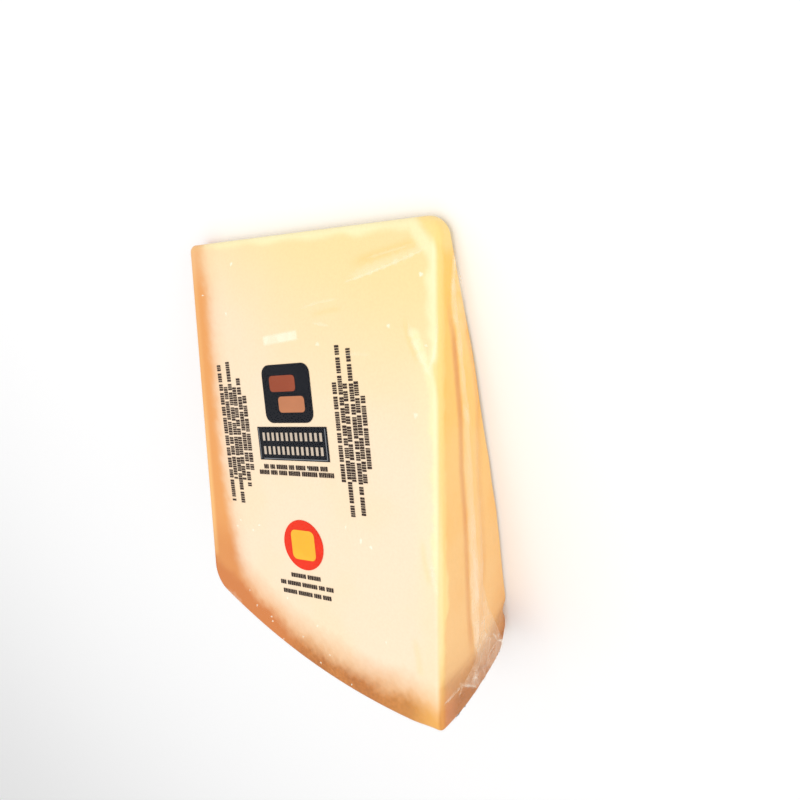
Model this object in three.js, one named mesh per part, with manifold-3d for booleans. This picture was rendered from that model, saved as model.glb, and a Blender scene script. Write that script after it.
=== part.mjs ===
// A vacuum-packed wedge of hard cheese: an eighteen-degree slice of half a barrel-shaped wheel, with its
// thin tip cut off. The clear pack is shrunk onto the wedge, so wedge and pack are one closed solid.
// The wedge lies on its rear cut face with the printed cut face up.
// Units are millimetres, +Z up. The slice is laid out about the wheel's own axis, which runs along X in the
// supporting plane: the flat rind is at -X, the cut through the middle of the wheel faces +X, the rim rind is
// towards -Y and the tip towards +Y. The finished part is then centred over the origin.

import * as THREE from 'three';
import Module from 'manifold-3d';
import { mergeVertices } from 'three/addons/utils/BufferGeometryUtils.js';

const wasm = await Module();
wasm.setup();

// --- Driving dimensions ---

const WHEEL_RADIUS = 213; // wheel axis to the rim, at the middle of the wheel
const HALF_HEIGHT = 120; // flat rind to the cut through the middle of the wheel
const WEDGE_ANGLE = THREE.MathUtils.degToRad(18.1);
const RIM_DROP = 32; // how much smaller the wheel is at its flat rind than at its middle
const RIM_POWER = 2.1; // shape of the barrel curve between the two
const RIM_STATIONS = 14;

const TIP_RADIUS = 28; // wheel axis to the cut that takes the tip off
const TIP_SPREAD = 4; // the flat rind leans out by this much at the tip
const TIP_SKEW = 1.5; // the tip cut is this much deeper at the flat rind

const CUT_EDGE_ROUND = 2.2; // edges all round the two cut faces, pulled soft by the film
const RIND_CORNER = 7; // rounded corner where the flat rind meets the rim
const TIP_CORNER = 4;
const MIDDLE_CORNER = 4;
const NOSE_CORNER = 6; // the corner between the tip cut and the face that faces +X
const CORNER_STEPS = 5;
const EDGE_STEPS = 4;
const TURN_STEPS = 7; // facets round the rim from one cut face to the other

const RIM_BULGE = 2.6; // the rim swells by this much halfway between the cut faces ...
const BULGE_START = -95; // ... from here ...
const BULGE_FULL = -10; // ... to its full height here, close to the middle of the wheel
const BULGE_DEPTH = 12; // depth below the rim over which the swelling dies out

// The film's seam and gathered corner, in the plane of the face that faces +X. The first number of
// each point is counted from the wheel's axis along the middle line of that face, the second runs
// across it towards the rear cut face.
const SEAM_TOP = [44, 0]; // the seam is welded along the line from here ...
const SEAM_FOOT = [200, -5]; // ... to here
const SEAM_WIDTH_TOP = 4.5;
const SEAM_WIDTH = 11;
const SEAM_WIDEST = 95;
const SEAM_WIDTH_FOOT = 7;
const SEAM_PROUD = 0.9;
const FLAP_TOP = [164, 4]; // the gathered corner fans out from here ...
const FLAP_OUTER = [203, 24]; // ... to the rear corner of the rim ...
const FLAP_INNER = [203, -16]; // ... and to this side of the seam
const FLAP_RIM = 209; // lowest point of the flap, just short of the rim
const FLAP_PROUD = 1.8;
const FILM_ROOT = 1.5; // how far seam and flap start below the face, so that they join the wedge

// A slanting plane, given in the same way, cuts off the corner between rim, rear cut and middle cut.
const CORNER_CUT = [212, 24.3]; // a point on the plane, at the face that faces +X
const CORNER_CUT_NORMAL = [0.5, 0.6, 0.8]; // along +X, along the middle line and across it
const CORNER_BLOCK = 60; // size of the block that takes the corner off

// --- The outline of a cut face, in the supporting plane ---

function rimY(x) {
  const fromMiddle = -x / HALF_HEIGHT;
  return -(WHEEL_RADIUS - RIM_DROP * fromMiddle ** RIM_POWER);
}

const tipAtMiddle = new THREE.Vector2(0, -TIP_RADIUS);
const tipAtRind = new THREE.Vector2(-HALF_HEIGHT - TIP_SPREAD, -TIP_RADIUS - TIP_SKEW);
const rimAtRind = new THREE.Vector2(-HALF_HEIGHT, rimY(-HALF_HEIGHT));
const rimAtMiddle = new THREE.Vector2(0, -WHEEL_RADIUS);

function towards(from, to, distance) {
  return to.clone().sub(from).setLength(distance).add(from);
}

function roundCorner(path, corner, end) {
  path.quadraticCurveTo(corner.x, corner.y, end.x, end.y);
}

function cutFaceOutline() {
  const start = towards(tipAtMiddle, tipAtRind, NOSE_CORNER);
  const tipEnd = towards(tipAtRind, tipAtMiddle, TIP_CORNER);
  const rindEnd = towards(rimAtRind, tipAtRind, RIND_CORNER);
  const rimStart = -HALF_HEIGHT + RIND_CORNER;
  const rimEnd = -MIDDLE_CORNER;
  const outline = new THREE.Shape().moveTo(start.x, start.y);
  outline.lineTo(tipEnd.x, tipEnd.y);
  roundCorner(outline, tipAtRind, towards(tipAtRind, rimAtRind, TIP_CORNER));
  outline.lineTo(rindEnd.x, rindEnd.y);
  roundCorner(outline, rimAtRind, new THREE.Vector2(rimStart, rimY(rimStart)));
  for (let i = 1; i <= RIM_STATIONS; i++) {
    const x = THREE.MathUtils.lerp(rimStart, rimEnd, i / RIM_STATIONS);
    outline.lineTo(x, rimY(x));
  }
  roundCorner(outline, rimAtMiddle, towards(rimAtMiddle, tipAtMiddle, MIDDLE_CORNER));
  const middleEnd = towards(tipAtMiddle, rimAtMiddle, NOSE_CORNER);
  outline.lineTo(middleEnd.x, middleEnd.y);
  roundCorner(outline, tipAtMiddle, start);
  return outline;
}

// --- The wedge: the outline swept round the wheel's axis from one cut face to the other ---

const SWEEP = 30; // nominal depth of the extrusion that is bent round the axis
const BODY = SWEEP - 2 * CUT_EDGE_ROUND;

// The angle reached at a depth of the extrusion. Close to a cut face the depth counts straight off
// that face, so that both cut faces come out flat and their rounded edges keep one size throughout.
function turnAt(depth, radius) {
  const offRear = Math.min(depth, CUT_EDGE_ROUND);
  const offFront = Math.min(SWEEP - depth, CUT_EDGE_ROUND);
  const first = Math.asin(offRear / radius);
  const last = WEDGE_ANGLE - Math.asin(offFront / radius);
  const along = THREE.MathUtils.clamp((depth - CUT_EDGE_ROUND) / BODY, 0, 1);
  return THREE.MathUtils.lerp(first, last, along);
}

// How far the rim's surface is pushed out; nothing on the cut faces and deep in the cheese.
function rimSwell(x, radius, turn) {
  const across = Math.sin((Math.PI * turn) / WEDGE_ANGLE);
  const towardsMiddle = THREE.MathUtils.smoothstep(x, BULGE_START, BULGE_FULL);
  const offRim = -rimY(x) - radius;
  return RIM_BULGE * across * towardsMiddle * THREE.MathUtils.clamp(1 - offRim / BULGE_DEPTH, 0, 1);
}

function wedgeGeometry() {
  const geometry = new THREE.ExtrudeGeometry(cutFaceOutline(), {
    depth: BODY,
    steps: TURN_STEPS,
    curveSegments: CORNER_STEPS,
    bevelThickness: CUT_EDGE_ROUND,
    bevelSize: CUT_EDGE_ROUND,
    bevelOffset: -CUT_EDGE_ROUND,
    bevelSegments: EDGE_STEPS,
  });
  geometry.translate(0, 0, CUT_EDGE_ROUND);
  const position = geometry.getAttribute('position');
  for (let i = 0; i < position.count; i++) {
    const radius = -position.getY(i);
    const turn = turnAt(THREE.MathUtils.clamp(position.getZ(i), 0, SWEEP), radius);
    const swollen = radius + rimSwell(Math.min(position.getX(i), 0), radius, turn);
    position.setY(i, -swollen * Math.cos(turn));
    position.setZ(i, swollen * Math.sin(turn));
  }
  return geometry;
}

// --- The film's seam and gathered corner, flat on the face that faces +X ---

const faceFrame = new THREE.Matrix4().makeBasis(
  new THREE.Vector3(0, -Math.cos(WEDGE_ANGLE / 2), Math.sin(WEDGE_ANGLE / 2)),
  new THREE.Vector3(0, -Math.sin(WEDGE_ANGLE / 2), -Math.cos(WEDGE_ANGLE / 2)),
  new THREE.Vector3(1, 0, 0),
);

function filmOnFace(outline, proud) {
  const geometry = new THREE.ExtrudeGeometry(outline, {
    depth: proud + FILM_ROOT,
    bevelEnabled: false,
    curveSegments: CORNER_STEPS,
  });
  return geometry.translate(0, 0, -FILM_ROOT).applyMatrix4(faceFrame);
}

function seamGeometry() {
  const outline = new THREE.Shape().moveTo(SEAM_TOP[0], SEAM_TOP[1]).lineTo(...SEAM_FOOT);
  outline.lineTo(SEAM_FOOT[0], SEAM_FOOT[1] + SEAM_WIDTH_FOOT);
  outline.lineTo(SEAM_WIDEST, SEAM_WIDTH);
  outline.lineTo(SEAM_TOP[0], SEAM_TOP[1] + SEAM_WIDTH_TOP);
  return filmOnFace(outline, SEAM_PROUD);
}

function flapGeometry() {
  const outline = new THREE.Shape().moveTo(...FLAP_TOP);
  outline.lineTo(...FLAP_INNER);
  outline.quadraticCurveTo(FLAP_RIM, FLAP_INNER[1], FLAP_RIM, (FLAP_INNER[1] + FLAP_OUTER[1]) / 2);
  outline.quadraticCurveTo(FLAP_RIM, FLAP_OUTER[1], ...FLAP_OUTER);
  return filmOnFace(outline, FLAP_PROUD);
}

// --- The block that takes the slanting corner off ---

function cornerBlock() {
  const out = new THREE.Vector3(CORNER_CUT_NORMAL[1], CORNER_CUT_NORMAL[2], CORNER_CUT_NORMAL[0]);
  const turn = new THREE.Quaternion().setFromUnitVectors(new THREE.Vector3(0, 0, 1), out.normalize());
  const block = new THREE.BoxGeometry(CORNER_BLOCK, CORNER_BLOCK, CORNER_BLOCK);
  block.translate(0, 0, CORNER_BLOCK / 2).applyQuaternion(turn);
  return block.translate(CORNER_CUT[0], CORNER_CUT[1], 0).applyMatrix4(faceFrame);
}

// --- Joining ---

function solidOf(geometry) {
  const bare = geometry.clone();
  bare.deleteAttribute('normal');
  bare.deleteAttribute('uv');
  const merged = mergeVertices(bare, 1e-4);
  return new wasm.Manifold(
    new wasm.Mesh({
      numProp: 3,
      vertProperties: new Float32Array(merged.getAttribute('position').array),
      triVerts: new Uint32Array(merged.index.array),
    }),
  );
}

function geometryOf(solid) {
  const mesh = solid.getMesh();
  const geometry = new THREE.BufferGeometry();
  geometry.setAttribute('position', new THREE.BufferAttribute(mesh.vertProperties, mesh.numProp));
  geometry.setIndex(new THREE.BufferAttribute(mesh.triVerts, 1));
  geometry.computeVertexNormals();
  return geometry;
}

// Stands the geometry on z = 0 with its box centred over the origin.
function centredOnFloor(geometry) {
  geometry.computeBoundingBox();
  const middle = geometry.boundingBox.getCenter(new THREE.Vector3());
  return geometry.translate(-middle.x, -middle.y, -geometry.boundingBox.min.z);
}

const film = solidOf(seamGeometry()).add(solidOf(flapGeometry()));
const packed = solidOf(wedgeGeometry()).add(film).subtract(solidOf(cornerBlock()));

const cheesePack = new THREE.Mesh(
  centredOnFloor(geometryOf(packed)),
  new THREE.MeshStandardMaterial({ color: 0xfae3b4, roughness: 0.35, metalness: 0 }),
);
cheesePack.name = 'cheese_pack';

const group = new THREE.Group();
group.add(cheesePack);

export default group;
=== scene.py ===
import math

import bpy
import numpy as np
from mathutils import Matrix, Vector


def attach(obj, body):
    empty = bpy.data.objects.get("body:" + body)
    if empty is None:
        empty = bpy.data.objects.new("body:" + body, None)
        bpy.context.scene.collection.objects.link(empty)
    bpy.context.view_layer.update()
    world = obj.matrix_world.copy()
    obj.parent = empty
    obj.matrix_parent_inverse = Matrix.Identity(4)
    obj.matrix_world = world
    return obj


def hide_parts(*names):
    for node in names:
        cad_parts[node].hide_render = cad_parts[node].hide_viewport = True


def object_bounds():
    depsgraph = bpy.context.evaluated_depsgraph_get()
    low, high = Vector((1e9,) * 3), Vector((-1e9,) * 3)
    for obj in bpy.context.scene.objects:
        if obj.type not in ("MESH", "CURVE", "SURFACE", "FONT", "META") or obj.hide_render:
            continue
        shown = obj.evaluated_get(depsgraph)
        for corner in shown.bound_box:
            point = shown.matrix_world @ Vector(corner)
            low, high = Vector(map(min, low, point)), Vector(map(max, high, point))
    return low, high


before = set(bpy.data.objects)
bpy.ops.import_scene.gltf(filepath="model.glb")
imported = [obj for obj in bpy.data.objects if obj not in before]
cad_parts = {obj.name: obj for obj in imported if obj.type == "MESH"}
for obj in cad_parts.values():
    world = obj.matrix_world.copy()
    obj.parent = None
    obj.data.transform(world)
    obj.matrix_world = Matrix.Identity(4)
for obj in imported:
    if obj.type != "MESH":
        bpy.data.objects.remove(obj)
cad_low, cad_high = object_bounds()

# A wedge of hard cheese shrunk into clear printed film. It lies on its rear cut face.
# Shapes are worked out in millimetres about the wheel's own axis, which runs along X in the
# supporting plane: x = 0 is the cut through the middle of the wheel, -x is towards the flat rind,
# -y towards the rim and +y towards the tip. to_part() turns them into metres in the part's frame.
# Places on the printed face are (x, r), where r is counted down from the wheel's axis.
# Places on the middle face are (s, t): s is counted from the wheel's axis along the middle line of
# that face and t runs across it towards the rear cut face.

MM = 0.001

# The wheel and the slice
WHEEL_RADIUS = 213.0
HALF_HEIGHT = 120.0
WEDGE_ANGLE = math.radians(18.1)
RIM_DROP = 32.0
RIM_POWER = 2.1
TIP_RADIUS = 28.0
TIP_SPREAD = 4.0
TIP_SKEW = 1.5
FLAP_PROUD = 1.8
RIM_REACH = 214.11  # the swollen rim's furthest place from the wheel's axis, counted along Y

# Rounded edges
RIND_CORNER = 7.0
MIDDLE_CORNER = 2.6
NOSE_CORNER = 7.5
TIP_CORNER = 3.2
FRONT_EDGE = 2.2
NEAR_EDGE = 3.4  # the long edge between the printed face and the middle face
REAR_EDGE = 1.8
REAR_EDGE_AT_TIP = 3.0
RIM_BULGE = 2.6  # the rim swells by this much halfway between the cut faces, at the middle of the wheel
MIDDLE_BULGE = 1.7  # the middle face leans out by this much along its rear edge

# The pack's corner between rim, middle cut and rear cut is cut off by a slanting plane
CORNER_CUT_PLACE = (212.0, 24.3)
CORNER_CUT_SLOPE = (0.60, 0.80)
CORNER_CUT_LEAN = 0.5
CORNER_CUT_ROUND = 3.5

# The film is pushed in at one place on the rear edge, just above the gathered corner
DENT_PLACE = (198.0, 31.0)  # in (s, t)
DENT_DEPTH = 3.0
DENT_RADIUS = 4.0

HALF_ANGLE = WEDGE_ANGLE / 2
RIND_REACH = (WHEEL_RADIUS - RIM_DROP) * math.cos(HALF_ANGLE)
TIP_REACH = TIP_RADIUS * math.cos(HALF_ANGLE)

AXIS = Vector((cad_high.x - FLAP_PROUD * MM, cad_low.y + RIM_REACH * MM, cad_low.z))


def to_part(points):
    """Places in millimetres about the wheel's axis, as metres in the part's frame."""
    return np.asarray(points, float) * MM + np.array(AXIS)


def smooth(low, high, value):
    """0 below low, 1 above high and an even ramp between them."""
    t = np.clip((value - low) / (high - low), 0, 1)
    return t * t * (3 - 2 * t)


def fading(low, high, value):
    """1 below low and 0 above high."""
    return 1 - smooth(low, high, value)


def ripples(places, wavelength, seed, waves=16):
    """Smooth seeded unevenness, mostly between -1 and 1, at places given in mm."""
    places = np.asarray(places, float)
    if places.ndim == 1:
        places = places[:, None]
    draw = np.random.default_rng(seed)
    heading = draw.normal(size=(waves, places.shape[1]))
    heading /= np.linalg.norm(heading, axis=1)[:, None]
    lengths = wavelength * draw.uniform(0.6, 1.7, waves)
    phases = draw.uniform(0, 2 * math.pi, waves)
    turns = places @ (heading * (2 * math.pi / lengths)[:, None]).T + phases
    return np.sin(turns).sum(axis=1) / math.sqrt(waves)


# ---------------------------------------------------------------- places on the faces

def about_axis(x, radius, angle):
    """Places at an angle up from the rear cut face."""
    return np.stack([x, -radius * np.cos(angle), radius * np.sin(angle)], axis=-1)


def on_printed_face(x, r, lift=0.0):
    x, r, lift = np.broadcast_arrays(np.asarray(x, float), r, lift)
    down, up = math.cos(WEDGE_ANGLE), math.sin(WEDGE_ANGLE)
    return np.stack([x, -r * down + lift * up, r * up + lift * down], axis=-1)


def on_middle_face(s, t):
    """Past the rim's edge s carries on round the corner, on to the rim."""
    s, t = np.broadcast_arrays(np.asarray(s, float), np.asarray(t, float))
    y = -s * math.cos(HALF_ANGLE) - t * math.sin(HALF_ANGLE)
    z = s * math.sin(HALF_ANGLE) - t * math.cos(HALF_ANGLE)
    past = np.maximum(np.hypot(y, z) - (WHEEL_RADIUS - 1), 0)
    inward = 1 - past / np.hypot(y, z)
    return np.stack([-past, y * inward, z * inward], axis=-1)


# ---------------------------------------------------------------- shape of the wedge

def towards_rind(x):
    """0 at the middle of the wheel, 1 at the flat rind and a little more past it."""
    return np.clip(-x / HALF_HEIGHT, 0, 1.3)


def rim_radius(x):
    return WHEEL_RADIUS - RIM_DROP * towards_rind(x) ** RIM_POWER


def reach(y, z):
    """Distance from the wheel's axis, measured along the middle line of the slice."""
    return -y * math.cos(HALF_ANGLE) + z * math.sin(HALF_ANGLE)


def aside(y, z):
    """Distance from the slice's middle plane, counted towards the rear cut face."""
    return -y * math.sin(HALF_ANGLE) - z * math.cos(HALF_ANGLE)


def rind_distances(points):
    """How far points stand out of the rim and out of the flat rind; negative inside the cheese."""
    x, y, z = points.T
    radius = np.hypot(y, z)
    slope = RIM_DROP * RIM_POWER / HALF_HEIGHT * towards_rind(x) ** (RIM_POWER - 1)
    share = np.clip(np.arctan2(z, -y) / WEDGE_ANGLE, 0, 1)
    bulge = RIM_BULGE * np.sin(math.pi * share) * smooth(-95, -10, x)
    rim = (radius - rim_radius(x) - bulge) / np.hypot(1, slope)
    lean = TIP_SPREAD / (RIND_REACH - TIP_REACH)
    rind = (-HALF_HEIGHT - lean * (RIND_REACH - reach(y, z)) - x) / math.hypot(1, lean)
    return rim, rind


def front_distance(points):
    """Distance above the printed cut face."""
    return points[:, 1] * math.sin(WEDGE_ANGLE) + points[:, 2] * math.cos(WEDGE_ANGLE)


def corner_cut_distance(points):
    """Distance outside the slanting plane that cuts the rim's rear corner off."""
    x, y, z = points.T
    lengthwise = CORNER_CUT_SLOPE[0] * (reach(y, z) - CORNER_CUT_PLACE[0])
    crosswise = CORNER_CUT_SLOPE[1] * (aside(y, z) - CORNER_CUT_PLACE[1])
    return (lengthwise + crosswise + CORNER_CUT_LEAN * x) / math.hypot(1, CORNER_CUT_LEAN)


def round_join(a, b, radius):
    """Two faces' distances joined into one, with a rounded edge between the faces."""
    return np.minimum(np.maximum(a, b), -radius) + np.hypot(
        np.maximum(a + radius, 0), np.maximum(b + radius, 0)
    )


DENT_CENTRE = on_middle_face(*DENT_PLACE)


def pack_distance(points):
    """Signed distance to the outside of the pack."""
    x, y, z = points.T
    rim, rind = rind_distances(points)
    along = reach(y, z)
    near_tip = fading(TIP_REACH + 4, TIP_REACH + 26, along)
    tip = TIP_REACH + TIP_SKEW * np.clip(-x / HALF_HEIGHT, 0, 1) - along
    outline = round_join(rim, rind, RIND_CORNER)
    outline = round_join(outline, tip, TIP_CORNER)
    towards_rear = smooth(-0.05, 0.16, aside(y, z) / along)
    lean_out = smooth(44, 90, along) * fading(140, 192, along) * towards_rear
    middle = x - MIDDLE_BULGE * lean_out
    outline = round_join(outline, middle, MIDDLE_CORNER + (NOSE_CORNER - MIDDLE_CORNER) * near_tip)
    front_edge = FRONT_EDGE + (NEAR_EDGE - FRONT_EDGE) * smooth(-14, -4, x)
    solid = round_join(outline, front_distance(points), front_edge)
    rear_edge = REAR_EDGE + (REAR_EDGE_AT_TIP - REAR_EDGE) * near_tip
    solid = round_join(solid, -z, rear_edge)
    solid = round_join(solid, corner_cut_distance(points), CORNER_CUT_ROUND)
    from_dent = np.linalg.norm(points - DENT_CENTRE, axis=1)
    return solid + DENT_DEPTH * np.exp(-((from_dent / DENT_RADIUS) ** 2))


def outward(points, step=0.05):
    """Gradient of the distance: the outward direction, of about unit length."""
    slopes = []
    for axis in np.eye(3) * step:
        slopes.append((pack_distance(points + axis) - pack_distance(points - axis)) / (2 * step))
    return np.stack(slopes, axis=1)


def settle(points, rounds=5):
    """Moves points onto the outside of the pack."""
    for _ in range(rounds):
        slope = outward(points)
        length = np.maximum((slope ** 2).sum(axis=1), 0.2)
        points = points - (pack_distance(points) / length)[:, None] * slope
    return points


# ---------------------------------------------------------------- the grid that wraps the wedge

EDGE_BAND = 3.0


def stations(length, fine, coarse):
    """Shares of a side, close together near both of its ends and wider apart between them."""
    ends = np.arange(0, EDGE_BAND, fine)
    count = max(2, int(round((length - 2 * EDGE_BAND) / coarse)))
    middle = np.linspace(EDGE_BAND, length - EDGE_BAND, count + 1)
    return np.concatenate([ends, middle, length - ends[::-1]]) / length


def grid_quads(index):
    """The quads between the rows and columns of a grid of vertex numbers."""
    corners = [index[:-1, :-1], index[:-1, 1:], index[1:, 1:], index[1:, :-1]]
    return np.stack(corners, axis=-1).reshape(-1, 4)


def wrapped_grid(across, along, around):
    """Vertices and quads of a closed skin over the wedge.
    across runs from the flat rind to the middle cut, along from the tip to the rim and
    around from the rear cut face to the printed one."""
    counts = (len(across), len(along), len(around))
    index = -np.ones(counts, int)
    i, j, k = np.meshgrid(*[np.arange(n) for n in counts], indexing="ij")
    on_skin = (
        (i == 0) | (i == counts[0] - 1) | (j == 0) | (j == counts[1] - 1) | (k == 0) | (k == counts[2] - 1)
    )
    index[on_skin] = np.arange(on_skin.sum())
    a, b, c = across[i[on_skin]], along[j[on_skin]], around[k[on_skin]]
    nominal_x = -HALF_HEIGHT * (1 - a)
    radius = TIP_RADIUS + b * (rim_radius(nominal_x) - TIP_RADIUS)
    left = -HALF_HEIGHT - TIP_SPREAD * (1 - b)
    points = about_axis(left * (1 - a), radius, c * WEDGE_ANGLE)
    quads = []
    for sheet, flip in (
        (index[0], True), (index[-1], False), (index[:, 0], False),
        (index[:, -1], True), (index[:, :, 0], True), (index[:, :, -1], False),
    ):
        quad = grid_quads(sheet)
        quads.append(quad[:, ::-1] if flip else quad)
    return points, np.concatenate(quads)


# ---------------------------------------------------------------- making pieces

SHARP_TURN = math.radians(50)


def mesh_piece(name, points, faces, material):
    mesh = bpy.data.meshes.new(name)
    mesh.from_pydata([tuple(p) for p in to_part(points)], [], [tuple(f) for f in faces])
    mesh.materials.append(material)
    mesh.polygons.foreach_set("use_smooth", [True] * len(mesh.polygons))
    mesh.set_sharp_from_angle(angle=SHARP_TURN)
    mesh.update()
    piece = bpy.data.objects.new(name, mesh)
    bpy.context.scene.collection.objects.link(piece)
    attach(piece, "root")
    return piece


def give_values(piece, name, values):
    """Stores one number for each vertex, for the materials to read."""
    attribute = piece.data.attributes.new(name, "FLOAT", "POINT")
    attribute.data.foreach_set("value", np.asarray(values, np.float32).ravel())


def lets_light_through(piece):
    """Clear film neither shades what it covers nor takes bounced light from it."""
    piece.visible_shadow = False
    piece.visible_diffuse = False


SHEET_GAP = 0.04


def sheet(base, heights, haze):
    """A thin closed sheet of film that lies on the pack: points, faces and a haze for each point.
    base is a grid of places on the pack and heights says how far its upper side stands off."""
    rows, columns = heights.shape
    flat = settle(base.reshape(-1, 3))
    out = outward(flat)
    upper = flat + out * (2 * SHEET_GAP + heights.reshape(-1, 1))
    lower = flat + out * SHEET_GAP
    index = np.arange(rows * columns).reshape(rows, columns)
    top = grid_quads(index)
    ring = np.concatenate([index[0, :-1], index[:-1, -1], index[-1, :0:-1], index[:0:-1, 0]])
    low, high = ring + rows * columns, ring
    sides = np.stack([high, low, np.roll(low, -1), np.roll(high, -1)], axis=1)
    faces = np.concatenate([top, top[:, ::-1] + rows * columns, sides])
    a, b, c = (upper[top[:, n]] for n in range(3))
    facing = (np.cross(b - a, c - a) * out[top[:, 0]]).sum()
    if facing < 0:
        faces = faces[:, ::-1]
    return np.concatenate([upper, lower]), faces, np.concatenate([haze.ravel(), np.zeros(len(lower))])


def joined_sheets(name, sheets, material):
    points, faces, haze, first = [], [], [], 0
    for sheet_points, sheet_faces, sheet_haze in sheets:
        points.append(sheet_points)
        faces += (sheet_faces + first).tolist()
        haze.append(sheet_haze)
        first += len(sheet_points)
    piece = mesh_piece(name, np.concatenate(points), faces, material)
    give_values(piece, "haze", np.concatenate(haze))
    lets_light_through(piece)
    return piece


def along_path(corners, step):
    """Evenly spaced places along a smoothed path through the corners."""
    corners = np.asarray(corners, float)
    spans = np.linalg.norm(np.diff(corners, axis=0), axis=1)
    at = np.concatenate([[0], np.cumsum(spans)])
    count = max(6, int(at[-1] / step) + 1)
    where = np.linspace(0, at[-1], count)
    path = np.stack([np.interp(where, at, corners[:, n]) for n in range(2)], axis=1)
    for _ in range(3):
        path[1:-1] = (path[:-2] + 2 * path[1:-1] + path[2:]) / 4
    return path


def fold_line(place, corners, width, height, haze, seed):
    """A pinched crease of film along a path on one face; it fades out at both ends."""
    path = along_path(corners, 0.6)
    heading = np.gradient(path, axis=0)
    heading /= np.linalg.norm(heading, axis=1)[:, None]
    sideways = np.stack([-heading[:, 1], heading[:, 0]], axis=1)
    share = np.linspace(0, 1, len(path))
    taper = np.clip(np.minimum(share, 1 - share) * 5, 0.04, 1) ** 0.7
    swell = taper * (1 + 0.35 * ripples(share * len(path), 6, seed))
    across = np.linspace(-1, 1, 9)
    half = width / 2 * np.clip(swell, 0.15, 1.5)
    spread = path[:, None] + sideways[:, None] * (across[None] * half[:, None])[..., None]
    crest = (1 - np.abs(across - 0.2) / np.where(across > 0.2, 0.8, 1.2)) ** 1.3
    heights = height * np.clip(swell, 0.05, 1.5)[:, None] * crest[None]
    crest_haze = haze * taper[:, None] * (0.25 + 0.75 * crest[None])
    return sheet(place(spread[..., 0], spread[..., 1]), heights, crest_haze)


# ---------------------------------------------------------------- materials

def tone(red, green, blue):
    """Screen values from 0 to 255, as the linear colour that the shaders use."""
    values = np.array([red, green, blue]) / 255
    linear = np.where(values <= 0.04045, values / 12.92, ((values + 0.055) / 1.055) ** 2.4)
    return (*[float(v) for v in linear], 1.0)


def new_material(name):
    """A material, its node tree and its shader."""
    material = bpy.data.materials.new(name)
    material.use_nodes = True
    tree = material.node_tree
    return material, tree, tree.nodes["Principled BSDF"]


def feed(tree, node, values):
    """Gives inputs of a node a fixed value each, or links them to a socket."""
    for name, value in values.items():
        if isinstance(value, bpy.types.NodeSocket):
            tree.links.new(value, node.inputs[name])
        else:
            node.inputs[name].default_value = value


def mixed(tree, share, low, high):
    """A colour mix; share, low and high are each a socket or a fixed value."""
    mix = tree.nodes.new("ShaderNodeMix")
    mix.data_type = "RGBA"
    feed(tree, mix, {0: share, 6: low, 7: high})
    return mix.outputs[2]


def reckon(tree, operation, a, b=0.5):
    node = tree.nodes.new("ShaderNodeMath")
    node.operation = operation
    feed(tree, node, {0: a, 1: b})
    return node.outputs[0]


def value_of(tree, name):
    """The value that give_values() stored under this name."""
    node = tree.nodes.new("ShaderNodeAttribute")
    node.attribute_name = name
    return node.outputs["Fac"]


def toned(tree, base, *tones):
    """The base colour with tones laid over it in turn; each is a value's name and a colour."""
    for name, colour in tones:
        base = mixed(tree, value_of(tree, name), base, colour)
    return base


def ramped(tree, value, low, high, to_low=0.0, to_high=1.0):
    node = tree.nodes.new("ShaderNodeMapRange")
    node.interpolation_type = "SMOOTHSTEP"
    feed(tree, node, {
        "Value": value, "From Min": low, "From Max": high, "To Min": to_low, "To Max": to_high,
    })
    return node.outputs["Result"]


def node_group(name, takes, gives):
    """A shader node group; takes and gives are (socket name, kind, value) rows."""
    group = bpy.data.node_groups.new(name, "ShaderNodeTree")
    for row in takes:
        socket = group.interface.new_socket(row[0], in_out="INPUT", socket_type=row[1])
        if len(row) > 2:
            socket.default_value = row[2]
    for row in gives:
        group.interface.new_socket(row[0], in_out="OUTPUT", socket_type=row[1])
    return group, group.nodes.new("NodeGroupInput"), group.nodes.new("NodeGroupOutput")


def use_group(tree, group, **values):
    node = tree.nodes.new("ShaderNodeGroup")
    node.node_tree = group
    feed(tree, node, {name.replace("_", " "): value for name, value in values.items()})
    return node


def object_place(tree):
    return tree.nodes.new("ShaderNodeTexCoord").outputs["Object"]


def make_mottle_group():
    """Clouds a colour: broad patches towards one tint and fine grains towards another."""
    group, given, result = node_group(
        "mottle",
        [
            ("Color", "NodeSocketColor"), ("Patch Color", "NodeSocketColor"),
            ("Patches", "NodeSocketFloat", 0.3), ("Patch Scale", "NodeSocketFloat", 40.0),
            ("Grain", "NodeSocketFloat", 0.1), ("Grain Scale", "NodeSocketFloat", 600.0),
        ],
        [("Color", "NodeSocketColor"), ("Height", "NodeSocketFloat")],
    )
    place = object_place(group)
    patches = group.nodes.new("ShaderNodeTexNoise")
    grains = group.nodes.new("ShaderNodeTexNoise")
    for node, scale in ((patches, "Patch Scale"), (grains, "Grain Scale")):
        feed(group, node, {"Detail": 4.0, "Vector": place, "Scale": given.outputs[scale]})
    patchy = ramped(group, patches.outputs["Fac"], 0.38, 0.66)
    patchy = reckon(group, "MULTIPLY", patchy, given.outputs["Patches"])
    clouded = mixed(group, patchy, given.outputs["Color"], given.outputs["Patch Color"])
    light = ramped(group, grains.outputs["Fac"], 0.3, 0.7, -0.5, 0.5)
    shade = reckon(group, "ADD", reckon(group, "MULTIPLY", light, given.outputs["Grain"]), 1.0)
    scaled = group.nodes.new("ShaderNodeVectorMath")
    scaled.operation = "SCALE"
    feed(group, scaled, {0: clouded, "Scale": shade})
    feed(group, result, {"Color": scaled.outputs[0], "Height": grains.outputs["Fac"]})
    return group


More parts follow.
